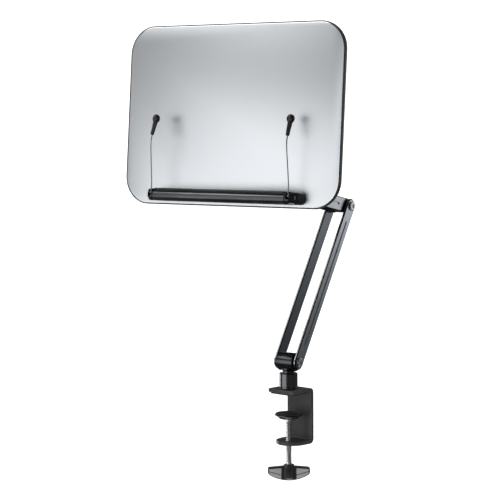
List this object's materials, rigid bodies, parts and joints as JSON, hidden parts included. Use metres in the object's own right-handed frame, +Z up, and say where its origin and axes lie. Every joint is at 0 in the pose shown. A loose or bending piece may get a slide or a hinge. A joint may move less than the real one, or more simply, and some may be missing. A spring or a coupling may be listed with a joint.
{
  "type": "clamp-on book stand",
  "caption": "Desk-clamp reading stand: folding friction arm of flat plate pairs, tilting and turning panel with book ledge and wire page holders.",
  "frame": {"origin": "on the axis of the post and the clamp screw, in the plane of the rubber face that rests on the desk top", "axes": "+Z up along the post; +X along the arm's hinge axes, to the reader's right; -Y towards the reader, the way the panel faces"},
  "size_m": [0.34, 0.3238, 0.629],
  "materials": {
    "powder_coat": "black powder coat on bent steel plate, satin with a fine texture",
    "rubber": "black moulded rubber, matt",
    "black_anodised": "turned aluminium, black anodised, satin",
    "steel": "nickel-plated steel, satin",
    "black_plastic": "moulded black ABS, glossy on the ledge ends",
    "nylon": "black nylon washer",
    "arm_aluminium": "grey anodised aluminium bar with polished chamfers",
    "silver_face": "silver anodised sheet, fine satin",
    "dark_bar": "dark grey anodised extrusion, satin"
  },
  "bodies": {
    "clamp": {"clamp_bracket": "powder_coat", "top_jaw_pad": "rubber", "post_collar": "black_anodised", "collar_bolt": "steel", "collar_grub_screw": "steel"},
    "pressure_pad": {"pad_plate": "black_anodised", "pad_rubber": "rubber"},
    "clamp_screw": {"clamp_screw": "steel", "wing_knob": "black_plastic", "knob_pin": "steel"},
    "post_swivel": {"base_knuckle": "black_anodised"},
    "lower_arm": {"lower_arm_plate_left": "arm_aluminium", "lower_arm_plate_right": "arm_aluminium", "lower_pivot_bolt": "steel", "lower_pivot_nut": "steel", "lower_washer_left": "nylon", "lower_washer_right": "nylon", "elbow_pivot_bolt": "steel", "elbow_pivot_nut": "steel", "elbow_washer_left": "nylon", "elbow_washer_right": "nylon"},
    "upper_arm": {"upper_arm_plate_left": "arm_aluminium", "upper_arm_plate_right": "arm_aluminium", "elbow_spacer": "black_anodised", "head_pivot_bolt": "steel", "head_pivot_nut": "steel", "head_washer_left": "nylon", "head_washer_right": "nylon"},
    "head_joint": {"head_knuckle": "black_anodised"},
    "panel": {"panel_face": "silver_face", "panel_back": "black_plastic", "mount_backing_plate": "steel", "mount_flange": "black_anodised", "head_grub_screw": "steel", "mount_screw_1": "steel", "mount_screw_2": "steel", "mount_screw_3": "steel", "mount_screw_4": "steel", "ledge_bar": "dark_bar", "ledge_mat": "rubber", "ledge_end_cap_left": "black_plastic", "ledge_end_cap_right": "black_plastic", "ledge_screw_1": "steel", "ledge_screw_2": "steel", "ledge_screw_3": "steel", "holder_pin_left": "steel", "holder_pin_right": "steel"},
    "page_holder_left": {"holder_hub_left": "steel", "holder_wire_left": "steel", "holder_sleeve_left": "rubber", "holder_tip_left": "rubber"},
    "page_holder_right": {"holder_hub_right": "steel", "holder_wire_right": "steel", "holder_sleeve_right": "rubber", "holder_tip_right": "rubber"}
  },
  "joints": [
    {"name": "base_swivel", "type": "hinge", "parent": "clamp", "child": "post_swivel", "pos_m": [0, 0, 0.0446], "axis": [0, 0, 1], "continuous": true},
    {"name": "lower_arm_tilt", "type": "hinge", "parent": "post_swivel", "child": "lower_arm", "pos_m": [0, 0, 0.0446], "axis": [1, 0, 0], "range_deg": [-45, 95]},
    {"name": "elbow_fold", "type": "hinge", "parent": "lower_arm", "child": "upper_arm", "pos_m": [0, 0.14184, 0.2541], "axis": [1, 0, 0], "range_deg": [-110, 20]},
    {"name": "head_tilt", "type": "hinge", "parent": "upper_arm", "child": "head_joint", "pos_m": [0, -0.10634, 0.30324], "axis": [1, 0, 0], "range_deg": [-80, 85]},
    {"name": "panel_turn", "type": "hinge", "parent": "head_joint", "child": "panel", "pos_m": [0, -0.1427, 0.30645], "axis": [0, -0.9961, 0.0879], "continuous": true},
    {"name": "page_holder_left_fold", "type": "hinge", "parent": "panel", "child": "page_holder_left", "pos_m": [-0.1088, -0.16569, 0.28589], "axis": [1, 0, 0], "range_deg": [-8, 50]},
    {"name": "page_holder_right_fold", "type": "hinge", "parent": "panel", "child": "page_holder_right", "pos_m": [0.1088, -0.16569, 0.28589], "axis": [1, 0, 0], "range_deg": [-8, 50]},
    {"name": "clamp_travel", "type": "slide", "parent": "clamp", "child": "pressure_pad", "axis": [0, 0, 1], "range_m": [-0.0301, 0.0264]},
    {"name": "knob_turn", "type": "hinge", "parent": "pressure_pad", "child": "clamp_screw", "pos_m": [0, 0, -0.11], "axis": [0, 0, 1], "range_deg": [-7200, 6300]}
  ],
  "couplings": [
    {"joint": "clamp_travel", "follows": "knob_turn", "m_per_rad": 0.00023873}
  ]
}
